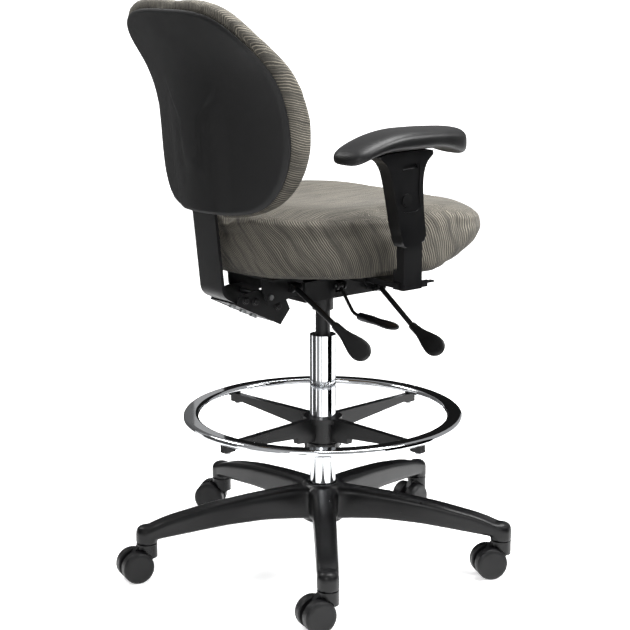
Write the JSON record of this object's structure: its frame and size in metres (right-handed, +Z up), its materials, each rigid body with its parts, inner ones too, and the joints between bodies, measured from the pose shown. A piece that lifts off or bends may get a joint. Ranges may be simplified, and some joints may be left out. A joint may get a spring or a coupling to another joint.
{
  "type": "drafting chair",
  "caption": "Tall swivel chair with arms, foot ring, gas lift, tilting padded seat, curved padded back and star base on twin-wheel casters.",
  "frame": {"origin": "on the floor, on the axis of the seat column", "axes": "+Z up, the sitter faces -Y, +X is the sitter's left"},
  "size_m": [0.7244, 0.7447, 1.0738],
  "materials": {
    "black_plastic": "matte",
    "black_steel": "satin",
    "chrome": "polished",
    "steel": "satin",
    "cloth": "woven",
    "wood": "matte",
    "foam_pad": "matte",
    "wheel": "satin"
  },
  "bodies": {
    "base": {"base_star": "black_plastic", "outer_column": "chrome", "column_bush": "black_plastic", "thrust_bearing": "steel"},
    "foot_ring_carrier": {"foot_ring": "chrome", "ring_spider": "black_plastic", "ring_screws": "steel"},
    "ring_collar": {"ring_lock_collar": "black_plastic"},
    "swivel_rod": {"piston_rod": "steel", "retaining_clip": "steel"},
    "lift": {"gas_tube": "black_steel", "mech_base": "black_steel"},
    "valve": {"valve_pin": "steel"},
    "height_control": {"height_lever": "black_steel", "height_paddle": "black_plastic"},
    "tilt_frame": {"tilt_pivot_pin": "steel", "top_plate": "black_steel", "plate_flanges": "black_steel", "back_pivot_pin": "steel"},
    "lean_control": {"lean_lever": "black_steel", "lean_paddle": "black_plastic"},
    "tilt_control": {"tilt_lever": "black_steel", "tilt_paddle": "black_plastic"},
    "back_support": {"back_bracket": "black_steel", "back_bar": "black_steel", "bar_bolts": "steel"},
    "backrest": {"back_carriage": "black_plastic", "back_board": "wood", "back_shell": "black_plastic", "back_cushion": "cloth"},
    "seat": {"seat_slides": "steel", "seat_board": "wood", "seat_cushion": "cloth", "arm_guides": "black_steel", "seat_screws": "steel"},
    "right_arm": {"right_arm_bracket": "black_steel"},
    "right_arm_catch": {"right_arm_catch": "black_steel"},
    "right_arm_height": {"right_arm_sleeve": "black_plastic", "right_arm_pad": "foam_pad"},
    "right_arm_button": {"right_arm_button": "black_plastic"},
    "left_arm": {"left_arm_bracket": "black_steel"},
    "left_arm_catch": {"left_arm_catch": "black_steel"},
    "left_arm_height": {"left_arm_sleeve": "black_plastic", "left_arm_pad": "foam_pad"},
    "left_arm_button": {"left_arm_button": "black_plastic"},
    "caster_1": {"caster_1_hood": "black_plastic", "caster_1_pins": "steel"},
    "caster_1_wheels": {"caster_1_wheels": "wheel"},
    "caster_2": {"caster_2_hood": "black_plastic", "caster_2_pins": "steel"},
    "caster_2_wheels": {"caster_2_wheels": "wheel"},
    "caster_3": {"caster_3_hood": "black_plastic", "caster_3_pins": "steel"},
    "caster_3_wheels": {"caster_3_wheels": "wheel"},
    "caster_4": {"caster_4_hood": "black_plastic", "caster_4_pins": "steel"},
    "caster_4_wheels": {"caster_4_wheels": "wheel"},
    "caster_5": {"caster_5_hood": "black_plastic", "caster_5_pins": "steel"},
    "caster_5_wheels": {"caster_5_wheels": "wheel"}
  },
  "joints": [
    {"name": "foot_ring_height", "type": "slide", "parent": "base", "child": "foot_ring_carrier", "axis": [0, 0, 1], "range_m": [-0.05, 0.09]},
    {"name": "ring_collar_turn", "type": "hinge", "parent": "foot_ring_carrier", "child": "ring_collar", "pos_m": [0, 0, 0.23], "axis": [0, 0, 1], "range_deg": [0, 60]},
    {"name": "seat_swivel", "type": "hinge", "parent": "base", "child": "swivel_rod", "pos_m": [0, 0, 0.1], "axis": [0, 0, 1], "continuous": true},
    {"name": "seat_height", "type": "slide", "parent": "swivel_rod", "child": "lift", "axis": [0, 0, 1], "range_m": [-0.03, 0.17]},
    {"name": "valve_press", "type": "slide", "parent": "lift", "child": "valve", "axis": [0, 0, 1], "range_m": [-0.0046, 0], "stiffness_N_per_m": 2000},
    {"name": "height_lever_lift", "type": "hinge", "parent": "lift", "child": "height_control", "pos_m": [-0.05, 0, 0.548], "axis": [0, 1, 0], "range_deg": [0, 5], "stiffness_Nm_per_rad": 3},
    {"name": "seat_tilt", "type": "hinge", "parent": "lift", "child": "tilt_frame", "pos_m": [0, -0.08, 0.545], "axis": [1, 0, 0], "range_deg": [-3, 7]},
    {"name": "lean_lever_lift", "type": "hinge", "parent": "tilt_frame", "child": "lean_control", "pos_m": [-0.06, 0.115, 0.56], "axis": [0, 1, 0], "range_deg": [0, 10]},
    {"name": "tilt_lever_lift", "type": "hinge", "parent": "tilt_frame", "child": "tilt_control", "pos_m": [-0.06, -0.09, 0.536], "axis": [0, 1, 0], "range_deg": [0, 10]},
    {"name": "back_lean", "type": "hinge", "parent": "tilt_frame", "child": "back_support", "pos_m": [0, 0.165, 0.547], "axis": [-1, 0, 0], "range_deg": [-4, 16]},
    {"name": "back_height", "type": "slide", "parent": "back_support", "child": "backrest", "axis": [0, 0.1045, 0.9945], "range_m": [0, 0.07]},
    {"name": "seat_depth", "type": "slide", "parent": "tilt_frame", "child": "seat", "axis": [0, -1, 0], "range_m": [0, 0.03]},
    {"name": "right_arm_width", "type": "slide", "parent": "seat", "child": "right_arm", "axis": [-1, 0, 0], "range_m": [-0.005, 0.03]},
    {"name": "right_arm_catch_turn", "type": "hinge", "parent": "right_arm", "child": "right_arm_catch", "pos_m": [-0.262, -0.008, 0.585], "axis": [-1, 0, 0], "range_deg": [0, 12]},
    {"name": "right_arm_height", "type": "slide", "parent": "right_arm", "child": "right_arm_height", "axis": [0, 0, 1], "range_m": [0, 0.08]},
    {"name": "right_arm_button_press", "type": "slide", "parent": "right_arm_height", "child": "right_arm_button", "axis": [1, 0, 0], "range_m": [0, 0.0016], "stiffness_N_per_m": 1500},
    {"name": "left_arm_width", "type": "slide", "parent": "seat", "child": "left_arm", "axis": [1, 0, 0], "range_m": [-0.005, 0.03]},
    {"name": "left_arm_catch_turn", "type": "hinge", "parent": "left_arm", "child": "left_arm_catch", "pos_m": [0.262, -0.008, 0.585], "axis": [-1, 0, 0], "range_deg": [0, 12]},
    {"name": "left_arm_height", "type": "slide", "parent": "left_arm", "child": "left_arm_height", "axis": [0, 0, 1], "range_m": [0, 0.08]},
    {"name": "left_arm_button_press", "type": "slide", "parent": "left_arm_height", "child": "left_arm_button", "axis": [-1, 0, 0], "range_m": [0, 0.0016], "stiffness_N_per_m": 1500},
    {"name": "caster_1_swivel", "type": "hinge", "parent": "base", "child": "caster_1", "pos_m": [-0.2747, 0.2185, 0.07], "axis": [0, 0, 1], "continuous": true},
    {"name": "caster_1_roll", "type": "hinge", "parent": "caster_1", "child": "caster_1_wheels", "pos_m": [-0.26889, 0.24179, 0.03], "axis": [-0.9703, 0.2419, 0], "continuous": true},
    {"name": "caster_2_swivel", "type": "hinge", "parent": "base", "child": "caster_2", "pos_m": [-0.29269, -0.19373, 0.07], "axis": [0, 0, 1], "continuous": true},
    {"name": "caster_2_roll", "type": "hinge", "parent": "caster_2", "child": "caster_2_wheels", "pos_m": [-0.28217, -0.17216, 0.03], "axis": [-0.8988, 0.4384, 0], "continuous": true},
    {"name": "caster_3_swivel", "type": "hinge", "parent": "base", "child": "caster_3", "pos_m": [0.0938, -0.33823, 0.07], "axis": [0, 0, 1], "continuous": true},
    {"name": "caster_3_roll", "type": "hinge", "parent": "caster_3", "child": "caster_3_wheels", "pos_m": [0.08963, -0.3146, 0.03], "axis": [-0.9848, -0.1736, 0], "continuous": true},
    {"name": "caster_4_swivel", "type": "hinge", "parent": "base", "child": "caster_4", "pos_m": [0.35067, -0.01531, 0.07], "axis": [0, 0, 1], "continuous": true},
    {"name": "caster_4_roll", "type": "hinge", "parent": "caster_4", "child": "caster_4_wheels", "pos_m": [0.36905, 0.00012, 0.03], "axis": [-0.6428, 0.766, 0], "continuous": true},
    {"name": "caster_5_swivel", "type": "hinge", "parent": "base", "child": "caster_5", "pos_m": [0.12292, 0.32877, 0.07], "axis": [0, 0, 1], "continuous": true},
    {"name": "caster_5_roll", "type": "hinge", "parent": "caster_5", "child": "caster_5_wheels", "pos_m": [0.12873, 0.35206, 0.03], "axis": [-0.9703, 0.2419, 0], "continuous": true}
  ],
  "couplings": [
    {"joint": "valve_press", "follows": "height_lever_lift", "m_per_rad": -0.05}
  ]
}
